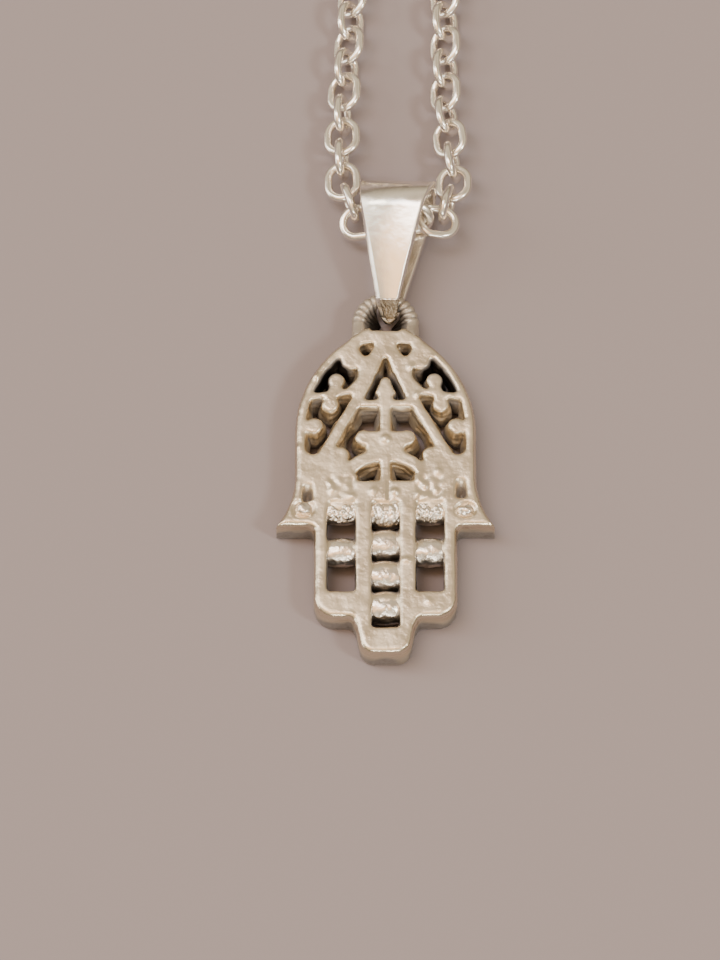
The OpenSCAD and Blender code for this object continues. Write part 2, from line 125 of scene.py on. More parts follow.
# The beds above the slots and the pits by the thumbs came out nearly full of metal:
# middle x and y, width, length and foot of each block
slot_x = 2.68
slot_w = 1.72
FULL = [(0, 2.1, 1.9, 0.9, 0.0)]
FULL += [(side * slot_x, 2.55, 1.92, 1.7, 0.0) for side in (-1, 1)]
FULL += [(side * 4.72, 1.68, 1.52, 2.3, 0.9) for side in (-1, 1)]
for x, y, width, length, foot in FULL:
    size = Matrix.Diagonal((width, length, hand_top - foot, 1))
    place = Matrix.Translation((x, y - casting_origin_y, (hand_top + foot) / 2))
    bmesh.ops.create_cube(welded, size=1, matrix=place @ size)
welded.to_mesh(casting)
welded.free()

blank = bpy.data.objects.new("casting_blank", casting)
bpy.context.scene.collection.objects.link(blank)
skin = blank.modifiers.new("skin", "REMESH")
skin.mode = "VOXEL"
skin.voxel_size = voxel
tumble = blank.modifiers.new("tumble", "SMOOTH")
tumble.factor = 0.5
tumble.iterations = 4
hand_mesh = baked(blank)
bpy.data.objects.remove(blank)
keep_largest_shell(hand_mesh)

# Each vertex in millimetres. y_hand counts from the hand's own origin, as the drawing does.
at = points_of(hand_mesh)
y_hand = at[:, 1] + casting_origin_y
side_x = np.abs(at[:, 0])

# Walls that look out into the open belong to the outline, the others to openings.
# The rays run a little askew, because a ray along the voxel grid can slip between two faces.
wall_tilt = 0.35
probe_z = 1
askew = (0.013, 0.017)
out = normals_of(hand_mesh)
hand_tree = BVHTree.FromPolygons([Vector(p) for p in at], [p.vertices[:] for p in hand_mesh.polygons])
wall = (np.abs(out[:, 2]) < wall_tilt) & (at[:, 2] > probe_z)
outer = KDTree(int(wall.sum()))
inner = KDTree(int(wall.sum()))
room = np.zeros(len(at))
for i in np.nonzero(wall)[0]:
    way = Vector((out[i, 0] + askew[0], out[i, 1] + askew[1], 0)).normalized()
    start = Vector(at[i]) + way * 0.02
    start.z = probe_z
    room[i] = hand_tree.ray_cast(start, way, 30)[3] or 0
    tree = inner if room[i] else outer
    tree.insert((at[i, 0], at[i, 1], 0), int(i))
outer.balance()
inner.balance()

outer_round = 0.36
inner_round = 0.13
flat_xy = [(x, y, 0) for x, y in at[:, :2]]
edge_gap = np.array([outer.find(p)[2] for p in flat_xy])
nearest_hole = [inner.find(p) for p in flat_xy]
hole_gap = np.array([found[2] for found in nearest_hole])
hole_wall = np.array([found[1] for found in nearest_hole])


def rounded_off(gap, radius):
    inside = np.clip(1 - gap / radius, 0, 1)
    return radius * (1 - np.sqrt(1 - inside * inside))


# Pebbled beds, and by each thumb a groove that falls from its point to a dark end above the bead:
# x, lower end and point of each groove, and x, y and half sizes of each bead
pebble_height = 0.12
pit_depth = 0.85
moat_depth = 0.16
on_face = at[:, 2] > hand_top - 0.15
pebbles = np.array([noise.noise(Vector((x, y, 0)) * 2.3) for x, y in zip(at[:, 0], y_hand)])
in_bed = smooth_step(slot_w / 2 + 0.1, slot_w / 2 - 0.15, np.abs(side_x - slot_x))
in_bed = in_bed * smooth_step(3.4, 3.0, y_hand)
in_bed *= smooth_step(1.6, 1.9, y_hand) * on_face
at[:, 2] += pebble_height * pebbles * in_bed
grooved = np.zeros(len(at))
PITS = [(-4.72, 1.75, 2.9), (4.58, 1.95, 3.3)]
for x, low_end, point in PITS:
    fall = smooth_step(point, low_end + 0.3, y_hand)
    fall = fall * smooth_step(low_end - 0.15, low_end + 0.12, y_hand)
    fall = fall * smooth_step(0.42, 0.1, np.abs(at[:, 0] - x)) * on_face
    at[:, 2] -= pit_depth * fall
    grooved += fall
PIT_BEADS = [(-4.95, 1.12, 0.55, 0.47), (4.84, 1.05, 0.52, 0.42)]
for x, y, half_wide, half_long in PIT_BEADS:
    away = np.hypot((at[:, 0] - x) / half_wide, (y_hand - y) / half_long)
    at[:, 2] -= moat_depth * smooth_step(1.4, 1.1, away) * on_face
# Small lumps of metal stand on the face (x, y and height of each), and a fine line runs down from
# the middle post
LUMPS = [
    (0.58, 2.24, 0.16), (-0.76, 2.3, 0.1), (1.12, -2.3, 0.09), (1.4, -2.3, 0.09), (1.95, -2.35, 0.07),
    (-4.2, 9.95, 0.12), (1.55, 10.6, 0.1), (1.95, 8.75, 0.1), (3.9, 8.6, 0.1), (-3.2, -1.0, 0.07),
    (-5.3, 5.2, 0.1), (3.2, 3.6, 0.09), (-2.1, -5.9, 0.08), (2.6, -5.0, 0.08),
]
for x, y, height in LUMPS:
    away = np.hypot(at[:, 0] - x, y_hand - y)
    at[:, 2] += height * smooth_step(0.34, 0.02, away) * on_face
line_x = 0.2
line_depth = 0.07
line = smooth_step(0.14, 0.03, np.abs(at[:, 0] - line_x)) * smooth_step(1.6, 1.8, y_hand)
line = line * smooth_step(3.1, 2.9, y_hand)
at[:, 2] -= line_depth * line * on_face

# The mould's two halves met inside the openings: each narrows to a waist at that depth, by the
# draft or by a share of its room. The finger slots and the ring have none.
draft = 0.42
draft_share = 0.3
waist = 0.75
ring_foot_y = 13.2
in_slots = smooth_step(2.3, 1.9, y_hand) * smooth_step(3.9, 3.7, side_x)
inwards = out[hole_wall] * (1, 1, 0)
inwards /= np.maximum(np.linalg.norm(inwards, axis=1), 1e-6)[:, None]
narrow = np.minimum(draft, draft_share * room[hole_wall])
narrow = narrow * smooth_step(0.5, 0.1, hole_gap) * (1 - in_slots)
above_waist = (hand_top - at[:, 2]) / (hand_top - waist)
below_waist = 0.25 + 0.75 * at[:, 2] / waist
narrow *= np.where(at[:, 2] > waist, above_waist, below_waist)
at_ring = smooth_step(ring_foot_y, ring_foot_y + 0.4, y_hand)
narrow = np.clip(narrow, 0, draft) * (1 - at_ring)
for axis in (0, 1):
    at[:, axis] += evened(hand_mesh, inwards[:, axis] * narrow, 5)

# Rims rounded by tumbling, except where the ring's legs stand
back_round = 0.2
ring_r = 1.58
high = smooth_step(hand_top * 0.45, hand_top, at[:, 2])
low = smooth_step(hand_top * 0.35, 0, at[:, 2])
inner_drop = rounded_off(hole_gap, inner_round) * (1 - 0.7 * in_slots)
drop = np.maximum(rounded_off(edge_gap, outer_round), inner_drop)
at_ring_leg = smooth_step(0.75, 0.45, np.abs(side_x - ring_r)) * smooth_step(11.2, 11.6, y_hand)
drop *= 1 - at_ring_leg
lift = rounded_off(edge_gap, back_round)
at[:, 2] -= drop * high
at[:, 2] += lift * low

# Cast unevenness: slow swells on the faces, layered steps on the walls of the openings.
# The plain ring under the rope is left a little thinner, to clear the rope's grooves and the bail.
swell_height = 0.025
ripple_height = 0.075
ring_thinned = 0.13
swell = np.array([noise.noise(Vector(p) * 0.9) for p in at])
ripple = np.array([
    noise.noise(Vector((x * 1.4, y * 1.4, z * 5.5)) + Vector((7, 3, 1)))
    for x, y, z in at
])
in_hole = smooth_step(0.25, 0.02, hole_gap) * (1 - np.abs(out[:, 2]))
uneven = swell_height * swell + ripple_height * ripple * in_hole
at += out * (uneven * (1 - at_ring) - ring_thinned * at_ring)[:, None]
hand_mesh.vertices.foreach_set("co", at.ravel())
hand_mesh.update()

# How deep in a recess each point lies: the share of the sky that the casting hides from it. It darkens
# the colour below as tarnish in the hollows and as painted shade together.
# Each ring of the sky has its height in degrees and its number of directions.
hand_tree = BVHTree.FromPolygons([Vector(p) for p in at], [p.vertices[:] for p in hand_mesh.polygons])
out = normals_of(hand_mesh)
SKY_RINGS = [(80, 4), (52, 5), (22, 7)]
sky = [
    Vector((
        math.cos(math.radians(tilt)) * math.cos(turn),
        math.cos(math.radians(tilt)) * math.sin(turn),
        math.sin(math.radians(tilt)),
    ))
    for tilt, count in SKY_RINGS
    for turn in [2 * math.pi * (k + 0.3) / count for k in range(count)]
]
hidden = np.zeros(len(at))
for i, (place, normal) in enumerate(zip(at, out)):
    origin = Vector(place) + Vector(normal) * 0.03
    facing = [way for way in sky if way.dot(Vector(normal)) > -0.15]
    hits = sum(1 for way in facing if hand_tree.ray_cast(origin, way, 12)[0])
    hidden[i] = hits / max(len(facing), 1)
# Darker still, partly tarnish and partly painted shade, in the outer crescents, between the beads,
# in the top opening and in the thumbs' grooves, and a painted shadow round the foot
in_wall = smooth_step(0.35, 0.05, hole_gap) * smooth_step(hand_top, hand_top - 0.25, at[:, 2])
crescent = smooth_step(8.2, 8.8, y_hand) * smooth_step(1.9, 1.4, edge_gap)
crescent = crescent * smooth_step(1.6, 2.2, side_x)
between_beads = smooth_step(0.9, 0.6, y_hand) * smooth_step(3.7, 3.5, side_x)
in_peak = smooth_step(6.7, 7.1, y_hand) * smooth_step(1.7, 1.4, side_x)
in_peak = in_peak * smooth_step(10.6, 10.2, y_hand)
# Painted contact shadow along the foot of the outer walls
painted_foot_shadow = smooth_step(0.3, 0.05, edge_gap) * smooth_step(2.0, 0.4, at[:, 2])
extra_tarnish_and_shade = np.maximum(np.maximum(1.6 * crescent, between_beads), 0.45 * in_peak)
hidden += in_wall * extra_tarnish_and_shade + 0.75 * grooved
hidden += 0.6 * painted_foot_shadow
hidden = evened(hand_mesh, hidden, 4)
hand_mesh.attributes.new("recess", "FLOAT", "POINT").data.foreach_set("value", hidden)
# The rims are rubbed smooth
on_rim = smooth_step(0.02, 0.1, rounded_off(edge_gap, outer_round)) * smooth_step(1.5, 1.75, at[:, 2])
hand_mesh.attributes.new("rubbed", "FLOAT", "POINT").data.foreach_set("value", on_rim)

hand_piece = new_object("hand_casting", hand_mesh)
hand_mesh.shade_smooth()


def linear(hex_colour):
    """An sRGB hex colour as Blender's linear colour."""
    parts = [int(hex_colour[k : k + 2], 16) / 255 for k in (0, 2, 4)]
    return [c / 12.92 if c <= 0.04045 else ((c + 0.055) / 1.055) ** 2.4 for c in parts] + [1]


def add_node(tree, kind, inputs=None, **settings):
    """Adds a node with its settings; an input takes a value or the output that feeds it."""
    node = tree.nodes.new(kind)
    for name, value in settings.items():
        setattr(node, name, value)
    for key, value in (inputs or {}).items():
        if isinstance(value, bpy.types.NodeSocket):
            tree.links.new(value, node.inputs[key])
        else:
            node.inputs[key].default_value = value
    return node


def new_material(name):
    material = bpy.data.materials.new(name)
    material.use_nodes = True
    return material, material.node_tree, material.node_tree.nodes["Principled BSDF"]


# Sterling silver as cast and tumbled: a warm matt metal with a grain of about 0.16 mm and soft
# patches, brown with tarnish and painted shade in the recesses, near black with painted shade in the
# deepest, and smooth on the rubbed rims
cast_silver, tree, surface = new_material("cast_sterling_silver")
place = add_node(tree, "ShaderNodeTexCoord").outputs["Object"]
grain = add_node(tree, "ShaderNodeTexNoise", {
    "Vector": place, "Scale": 1 / (0.16 * MM), "Detail": 3.0})
patches = add_node(tree, "ShaderNodeTexNoise", {
    "Vector": place, "Scale": 1 / (1.6 * MM), "Detail": 2.0})
depth = add_node(tree, "ShaderNodeAttribute", attribute_name="recess")
# The recess value turns the colour brown, partly tarnish and partly painted shade
tarnish_and_shade = add_node(tree, "ShaderNodeMapRange", {
    "Value": depth.outputs["Fac"], "From Min": 0.3, "From Max": 0.7, "To Min": 0.0, "To Max": 1.0})
# Painted deep shade: near black where the recess value is highest
painted_deep_shade = add_node(tree, "ShaderNodeMapRange", {
    "Value": depth.outputs["Fac"], "From Min": 0.9, "From Max": 1.6, "To Min": 0.0, "To Max": 1.0})
clean = add_node(tree, "ShaderNodeMix", {
    0: patches.outputs["Fac"], 6: linear("D1C3AC"), 7: linear("E9DCC3")}, data_type="RGBA")
brown = add_node(tree, "ShaderNodeMix", {
    0: grain.outputs["Fac"], 6: linear("6A645F"), 7: linear("9A9590")}, data_type="RGBA")
dark = add_node(tree, "ShaderNodeMix", {
    0: painted_deep_shade.outputs["Result"], 6: brown.outputs[2], 7: linear("1E1915")}, data_type="RGBA")
colour = add_node(tree, "ShaderNodeMix", {
    0: tarnish_and_shade.outputs["Result"], 6: clean.outputs[2], 7: dark.outputs[2]}, data_type="RGBA")
tree.links.new(colour.outputs[2], surface.inputs["Base Color"])
metal = add_node(tree, "ShaderNodeMapRange", {
    "Value": tarnish_and_shade.outputs["Result"], "From Min": 0.0, "From Max": 1.0, "To Min": 1.0, "To Max": 0.35})
tree.links.new(metal.outputs["Result"], surface.inputs["Metallic"])
rough = add_node(tree, "ShaderNodeMapRange", {
    "Value": patches.outputs["Fac"], "From Min": 0.3, "From Max": 0.7, "To Min": 0.3, "To Max": 0.48})
rubbed = add_node(tree, "ShaderNodeAttribute", attribute_name="rubbed").outputs["Fac"]
finish = add_node(tree, "ShaderNodeMix", {0: rubbed, 2: rough.outputs["Result"], 3: 0.2})
tree.links.new(finish.outputs[0], surface.inputs["Roughness"])
dimples = add_node(tree, "ShaderNodeTexNoise", {
    "Vector": place, "Scale": 1 / (0.55 * MM), "Detail": 1.0})
uneven = add_node(tree, "ShaderNodeMath", {
    0: dimples.outputs["Fac"], 1: 3.0, 2: grain.outputs["Fac"]}, operation="MULTIPLY_ADD")
relief = add_node(tree, "ShaderNodeBump", {
    "Height": uneven.outputs[0], "Strength": 0.5, "Distance": 0.03 * MM})
tree.links.new(relief.outputs["Normal"], surface.inputs["Normal"])

hand_mesh.materials.clear()
hand_mesh.materials.append(cast_silver)
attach(hand_piece, "root")
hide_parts("hand")

# The beads are barrels cast across the finger slots and rubbed bright on top, each a little
# uneven, as it came from the mould. A lumpy bead lies in each of the pits by the thumbs.
bead_r = 0.98
bead_end_r = 0.88
side_bead_r = 0.88
side_bead_end_r = 0.78
mid_slot_w = 1.7
bead_top = hand_top - 0.06
bead_buried = 0.2
bead_turns = 40
bead_steps = 22
pit_bead_seat = hand_top - 0.3
pit_bead_half_high = 0.52


def join_rings(shape, rings, closed=False):
    """Faces from each ring of vertices to the next, and over both ends unless the row is closed."""
    count = len(rings[0])
    for a, b in zip(rings, rings[1:] + rings[: int(closed)]):
        for k in range(count):
            n = (k + 1) % count
            shape.faces.new((a[k], b[k], b[n], a[n]))
    if not closed:
        shape.faces.new(rings[0])
        shape.faces.new(rings[-1][::-1])


# Middle x and y, width, and radius in the middle and at the ends of each barrel
BEADS = [(0, 1.15 - i * 2.09, mid_slot_w, bead_r, bead_end_r) for i in (1, 2, 3)]
BEADS += [(side * slot_x, -1.42, slot_w, side_bead_r, side_bead_end_r) for side in (-1, 1)]

beads = bmesh.new()
for x, y, width, middle_r, end_r in BEADS:
    centre = Vector((x, y - casting_origin_y, bead_top - middle_r))
    rings = []
    for s in range(bead_steps + 1):
        along = (s / bead_steps * 2 - 1) * (width / 2 + bead_buried)
        share = min((2 * along / width) ** 2, 1.1)
        radius = middle_r - (middle_r - end_r) * share
        ring = []
        for k in range(bead_turns):
            angle = 2 * math.pi * k / bead_turns
            spot = Vector((along, radius * math.cos(angle), radius * math.sin(angle)))
            dent = 0.05 * noise.noise((centre + spot) * 2.2) + 0.045 * noise.noise((centre + spot) * 5)
            spot += Vector((0, spot.y, spot.z)).normalized() * dent
            ring.append(beads.verts.new(centre + spot))
        rings.append(ring)
    join_rings(beads, rings)
for x, y, half_wide, half_long in PIT_BEADS:
    seat = Vector((x, y - casting_origin_y, pit_bead_seat))
    for vert in bmesh.ops.create_icosphere(beads, subdivisions=4, radius=1)["verts"]:
        lump = 1 + 0.2 * noise.noise(vert.co * 1.6 + seat)
        spot = Vector((vert.co.x * half_wide, vert.co.y * half_long, vert.co.z * pit_bead_half_high))
        vert.co = seat + spot * lump
bmesh.ops.recalc_face_normals(beads, faces=beads.faces)
bead_mesh = bpy.data.meshes.new("bead_row")
beads.to_mesh(bead_mesh)
beads.free()
bead_piece = new_object("finger_beads", bead_mesh)
bead_mesh.shade_smooth()

# Rubbed sterling silver: the casting's metal, brighter and smoother where its high spots were rubbed
rubbed_silver, tree, surface = new_material("rubbed_sterling_silver")
place = add_node(tree, "ShaderNodeTexCoord").outputs["Object"]
grain = add_node(tree, "ShaderNodeTexNoise", {"Vector": place, "Scale": 1 / (0.3 * MM), "Detail": 2.0})
relief = add_node(tree, "ShaderNodeBump", {
    "Height": grain.outputs["Fac"], "Strength": 0.7, "Distance": 0.06 * MM})
tree.links.new(relief.outputs["Normal"], surface.inputs["Normal"])
surface.inputs["Base Color"].default_value = linear("E9E0D3")
surface.inputs["Roughness"].default_value = 0.3
surface.inputs["Metallic"].default_value = 1
bead_mesh.materials.append(rubbed_silver)
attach(bead_piece, "root")

# The upper beads carry a cast granulation: close-set grains of about 0.24 mm with a notch between
# the two halves of the bead. They are part of the same casting.
grain_size = 0.24
grain_height = 0.075
grained_top = hand_top - 0.03
grained_buried = 0.16
barrel = 0.12
notch_half_wide = 0.17
notch_depth = 0.3
# Middle x and y, width and radius of each bead, and its notch's place along it
GRAINED = [
    (0, 1.16, mid_slot_w, 0.95, 0.02),
    (-slot_x, 1.16, slot_w, 0.76, -0.12),
    (slot_x, 1.16, slot_w, 0.76, 0.1),
]
grained = bmesh.new()
grained_turns, grained_steps = 72, 44
for x, y, width, radius, notch_x in GRAINED:
    centre = Vector((x, y - casting_origin_y, grained_top - radius))
    rings = []
    for s in range(grained_steps + 1):
        along = (s / grained_steps * 2 - 1) * (width / 2 + grained_buried)
        body = radius - barrel * (2 * along / width) ** 2
        ring = []
        for k in range(grained_turns):
            angle = 2 * math.pi * k / grained_turns
            way = Vector((0, math.sin(angle), math.cos(angle)))
            spot = Vector((along, 0, 0)) + way * body
            cell = noise.voronoi((centre + spot) / grain_size)[0]
            height = grain_height * (1 - min(cell[0] / 0.7, 1) ** 2 * 1.6)
            on_top = max(way.z, 0)
            notch = math.exp(-(((along - notch_x) / notch_half_wide) ** 2))
            notch *= max(0.8 * way.z + 0.6 * way.y, 0) ** 3
            edge = min(max((width / 2 - abs(along)) / 0.1, 0), 1)
            rise = (height * on_top - notch_depth * notch) * edge
            ring.append(grained.verts.new(centre + spot + way * rise))
        rings.append(ring)
    join_rings(grained, rings)
bmesh.ops.recalc_face_normals(grained, faces=grained.faces)
grained_mesh = bpy.data.meshes.new("grained_beads")
grained.to_mesh(grained_mesh)
grained.free()
grained_piece = new_object("grained_beads", grained_mesh)
grained_mesh.shade_smooth()
grained_mesh.materials.append(rubbed_silver)
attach(grained_piece, "root")

# The ring stands on the arch's point, cast in one with it: a rope of slanting ridges whose legs
# run straight down into the arch, worn smooth there. Its wall reaches down to the back, except at
# the top, where the bail passes and only the rope is left.
ring_wire = 0.86
ring_z = 1.32
arch_r = 7.5
half_palm = 10.96 / 2
arch_tip_y = 6.35 + math.sqrt(arch_r**2 - (arch_r - half_palm) ** 2)
ring_y = arch_tip_y + 0.23
bail_slide = 12
ring_leg = 1.0
leg_steps = 12
ridge_count = 26
ridge_depth = 0.12
ridge_slant = 0.9
rope_proud = 0.035
rope_foot = 0.22
ring_around = 30


def sin_of(angle):
    return math.sin(math.radians(angle))


def cos_of(angle):
    return math.cos(math.radians(angle))


# Middle of the rope, its angle round the ring and how far down a leg it lies (0 to -1)
ring_path = [
    ((ring_r, ring_y - ring_leg * (1 - k / leg_steps)), 0.0, k / leg_steps - 1)
    for k in range(leg_steps)
]
ring_path += [
    ((ring_r * cos_of(a), ring_y + ring_r * sin_of(a)), a, 0)
    for a in np.linspace(0, 180, 145)
]
ring_path += [
    ((-ring_r, ring_y - ring_leg * k / leg_steps), 180.0, -k / leg_steps)
    for k in range(1, leg_steps + 1)
]
rope = bmesh.new()
rows = []
grooves = []
for (x, y), angle, leg in ring_path:
    past_bail = float(smooth_step(36, 58, abs(angle - (90 - bail_slide))))
    foot = (ring_z - ring_wire / 2) * (1 - past_bail) + rope_foot * past_bail
    worn = min(1, max(0, 1 + 1.4 * leg)) * float(smooth_step(-24, 10, min(angle, 180 - angle)))
    row = []
    for k in range(ring_around):
        around = 2 * math.pi * k / ring_around
        slant = ridge_slant * math.sin(around + 0.6)
        ridge = abs(math.sin(math.radians(angle) * ridge_count / 2 + slant)) ** 0.6
        size = ring_wire / 2 + rope_proud - ridge_depth * (1 - ridge) * worn
        across = size * math.cos(around)
        z = ring_z + size * math.sin(around)
        if math.sin(around) < 0:
            z = ring_z + (ring_z - foot) * math.sin(around)
            across = math.copysign(abs(math.cos(around)) ** (1 - 0.55 * past_bail), across) * size
            if across < 0:
                across += past_bail * math.sin(around)
        if z > ring_z:
            z += (z - ring_z) * 0.6 * float(smooth_step(0.35, -0.8, leg + 0.35))
        grooves.append(0.9 * (1 - ridge) * worn)
        row.append(rope.verts.new((
            x + across * cos_of(angle), y + across * sin_of(angle) - casting_origin_y, z)))
    rows.append(row)
join_rings(rope, rows)
bmesh.ops.recalc_face_normals(rope, faces=rope.faces)
rope_mesh = bpy.data.meshes.new("rope_ring")
rope.to_mesh(rope_mesh)
rope.free()
# Tarnish and painted shade on the ring: at least 0.54 everywhere, darkest in the ring's opening and in
# the grooves, less low on its wall
in_ring = [
    2.2 * max(0.0, 1 - (Vector((v.co.x, v.co.y + casting_origin_y - ring_y)).length - 0.7) / 0.75)
    - max(0.0, 0.9 - v.co.z) + groove
    for v, groove in zip(rope_mesh.vertices, grooves)
]
in_ring = [min(1.6, max(0.54, value)) for value in in_ring]
rope_mesh.attributes.new("recess", "FLOAT", "POINT").data.foreach_set("value", in_ring)
ring_piece = new_object("rope_ring", rope_mesh)
rope_mesh.shade_smooth()
rope_mesh.materials.append(cast_silver)
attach(ring_piece, "root")

# The bail is a tapering strip of polished silver sheet, folded round the eye and closed in one tip.
# Its edges are softly broken, and the tip was filed down from a crease on.
bail_w = 4.68
bail_tip_w = 0.86
bail_l = 5.6
bail_tip_l = 1.5
eye_r = 1.45
strip_t = 0.5
bail_roll = 12
bail_lean = 4.6
ring_fit = 0.1
sunk = 0.05

fold_r = eye_r + strip_t
bail_slope = (bail_w - bail_tip_w) / 2 / (fold_r + bail_l + bail_tip_l)
ring_edge = bail_w / 2 - (fold_r + bail_l) * bail_slope
pocket_r = ring_wire / 2 + ring_edge * sin_of(bail_roll) + ring_fit
pocket_sag = ring_r - math.sqrt(ring_r**2 - ring_edge**2)
knee = (-bail_l + 0.1, pocket_r + strip_t)
nose_r = 0.3
nose_y = -bail_l - bail_tip_l + nose_r
eye_drop = (bail_w / 2 - fold_r * bail_slope) * sin_of(bail_roll) + fold_r * cos_of(bail_roll)
bail_pitch = math.degrees(
    math.atan2(eye_drop, bail_l) - math.asin((ring_z - sunk) / math.hypot(bail_l, eye_drop)))
bail_turn = (
    Matrix.Rotation(math.radians(-bail_lean), 3, "Z")
    @ Matrix.Rotation(math.radians(bail_pitch), 3, "X")
    @ Matrix.Rotation(math.radians(-bail_roll), 3, "Y")
)
rope_top = Vector((ring_r * sin_of(bail_slide), ring_y + ring_r * cos_of(bail_slide), ring_z))
eye = rope_top + bail_turn @ Vector((0, bail_l, 0))


def arc(centre, radius, start, end, steps):
    return [
        (centre[0] + radius * cos_of(start + (end - start) * k / steps),
         centre[1] + radius * sin_of(start + (end - start) * k / steps))
        for k in range(steps + 1)
    ]


def straight_run(a, b, steps, crowd=0.0):
    """Points between a and b; crowd draws them towards both ends."""
    shares = [k / steps for k in range(1, steps)]
    shares = [t - crowd * math.sin(2 * math.pi * t) / (2 * math.pi) for t in shares]
    return [(a[0] + (b[0] - a[0]) * t, a[1] + (b[1] - a[1]) * t) for t in shares]


# Side outline of the strip: fold, leaf, knee and filed nose. The front leaf bulges a little, and
# its crease was filed lower down than the back one's.
knee_away = math.degrees(math.atan2(knee[1], knee[0]))
touch_angle = knee_away - math.degrees(math.acos(fold_r / math.hypot(*knee)))
nose_top = (nose_y, nose_r)


def half_outline(bulge, crease):
    leaf_run = fold_r * cos_of(touch_angle) - crease[0]
    fold = arc((0, 0), fold_r, 0, touch_angle - math.degrees(math.pi * bulge / leaf_run), 40)
    leaf = [
        (y, z + bulge * math.sin(math.pi * (y - crease[0]) / (fold[-1][0] - crease[0])))
        for y, z in straight_run(fold[-1], crease, 30, 0.9)
    ]
    facet = straight_run(crease, nose_top, 12, 0.7)
    return fold + leaf + [crease] + facet + arc((nose_y, 0), nose_r, 90, 180, 10)


leaf_bulge = 0.17
front_crease = (knee[0] - 0.22, knee[1] - 0.05)
outline = half_outline(leaf_bulge, front_crease)
outline += [(y, -z) for y, z in half_outline(0, knee)[-2:0:-1]]

lift = (eye_r - pocket_r) / (bail_l + pocket_sag)
lean = 90 + math.degrees(math.asin(lift))
pocket = (-bail_l - pocket_sag, 0)
half_hole = arc((0, 0), eye_r, 0, lean, 120)
half_hole += straight_run(half_hole[-1], arc(pocket, pocket_r, lean, 180, 1)[0], 400)
half_hole += arc(pocket, pocket_r, lean, 180, 120)
hole = np.array(half_hole + [(y, -z) for y, z in half_hole[-2:0:-1]])


def half_width(y):
    tip_r = bail_tip_w / 2
    tip_centre = -bail_l - bail_tip_l + tip_r
    if y >= tip_centre:
        return bail_w / 2 - (fold_r - y) * bail_slope
    return max(math.sqrt(max(tip_r**2 - (y - tip_centre) ** 2, 0)), 0.03)


# The left edge in front carries a broad flat bevel that widens towards the tip. The other edges
# are barely broken, and the back leaf is a little narrower on the right.
bevel_eye = 0.1
bevel_growth = 0.25
front_break = 0.14
back_break = 0.1
flat_bevel = 1.75
back_trim = 0.2
corner_steps = 6
corner_depth = 0.2


def bevel_at(y):
    return bevel_eye + bevel_growth * float(smooth_step(1.0, -3.5, y))


strip = bmesh.new()
sections = []
for y, z in outline:
    near = hole[np.argmin(((hole - (y, z)) ** 2).sum(1))]
    thick = math.hypot(y - near[0], z - near[1])
    deep = min(corner_depth, thick * 0.45)
    left_break, left_square = (bevel_at(y), flat_bevel) if z > 0 else (front_break, 1)
    trim = back_trim * float(smooth_step(0.5, -1.0, z))
    section = []
    for side, end, turn, wide, square in (
        (1, 1, 0, front_break, 1), (-1, 1, 90, left_break, left_square),
        (-1, -1, 180, back_break, 1), (1, -1, 270, back_break, 1),
    ):
        wide = min(wide, half_width(y) * 0.9)
        for k in range(corner_steps + 1):
            angle = turn + 90 * k / corner_steps
            level = math.copysign(abs(cos_of(angle)) ** square, cos_of(angle))
            upright = math.copysign(abs(sin_of(angle)) ** square, sin_of(angle))
            rise = (thick - deep if end > 0 else deep) + deep * upright
            spot_y = near[0] + (y - near[0]) * rise / thick
            spot_z = near[1] + (z - near[1]) * rise / thick
            across = side * (half_width(spot_y) - wide) + wide * level
            if side > 0:
                across -= min(trim, half_width(spot_y) / 2)
            section.append((across, spot_y, spot_z))
    sections.append(section)
seat = eye - Vector((0, casting_origin_y, 0))
filed = strip.verts.layers.float.new("filed")
rows = []
for section in sections:
    row = []
    for p in section:
        vert = strip.verts.new(seat + bail_turn @ Vector(p))
        past_bevel = p[0] > 0.9 * bevel_at(p[1]) - half_width(p[1])
        vert[filed] = float(p[1] < front_crease[0] - 0.03 and p[2] > 0 and past_bevel)
        row.append(vert)
    rows.append(row)
join_rings(strip, rows, closed=True)
bmesh.ops.remove_doubles(strip, verts=strip.verts, dist=weld)
bmesh.ops.dissolve_degenerate(strip, edges=strip.edges, dist=weld)
bmesh.ops.recalc_face_normals(strip, faces=strip.faces)
bail_mesh = bpy.data.meshes.new("folded_strip")
strip.to_mesh(bail_mesh)
strip.free()
bail_piece = new_object("folded_bail", bail_mesh)
bail_mesh.shade_smooth()

# Polished sterling silver: bright, with the hair-fine scratches of wear, and coarse file marks
# of about 0.13 mm along the tip's facet
polished_silver, tree, surface = new_material("polished_sterling_silver")
place = add_node(tree, "ShaderNodeTexCoord").outputs["Object"]
wear = add_node(tree, "ShaderNodeTexNoise", {"Vector": place, "Scale": 1 / (0.6 * MM), "Detail": 3.0})
rough = add_node(tree, "ShaderNodeMapRange", {
    "Value": wear.outputs["Fac"], "From Min": 0.3, "From Max": 0.7, "To Min": 0.19, "To Max": 0.27})
on_facet = add_node(tree, "ShaderNodeAttribute", attribute_name="filed").outputs["Fac"]
along_bail = add_node(tree, "ShaderNodeMapping", {
    "Vector": place, "Rotation": (0, 0, math.radians(bail_lean)), "Scale": (1, 0.09, 1)})
marks = add_node(tree, "ShaderNodeTexNoise", {
    "Vector": along_bail.outputs[0], "Scale": 1 / (0.13 * MM), "Detail": 2.0})
streak = add_node(tree, "ShaderNodeMix", {
    0: marks.outputs["Fac"], 6: linear("4C4338"), 7: linear("C9BAA4")}, data_type="RGBA")
facet_rough = add_node(tree, "ShaderNodeMix", {0: on_facet, 2: rough.outputs["Result"], 3: 0.42})
tree.links.new(facet_rough.outputs[0], surface.inputs["Roughness"])
facet_colour = add_node(tree, "ShaderNodeMix", {
    0: on_facet, 6: linear("F6F0E6"), 7: streak.outputs[2]}, data_type="RGBA")
tree.links.new(facet_colour.outputs[2], surface.inputs["Base Color"])
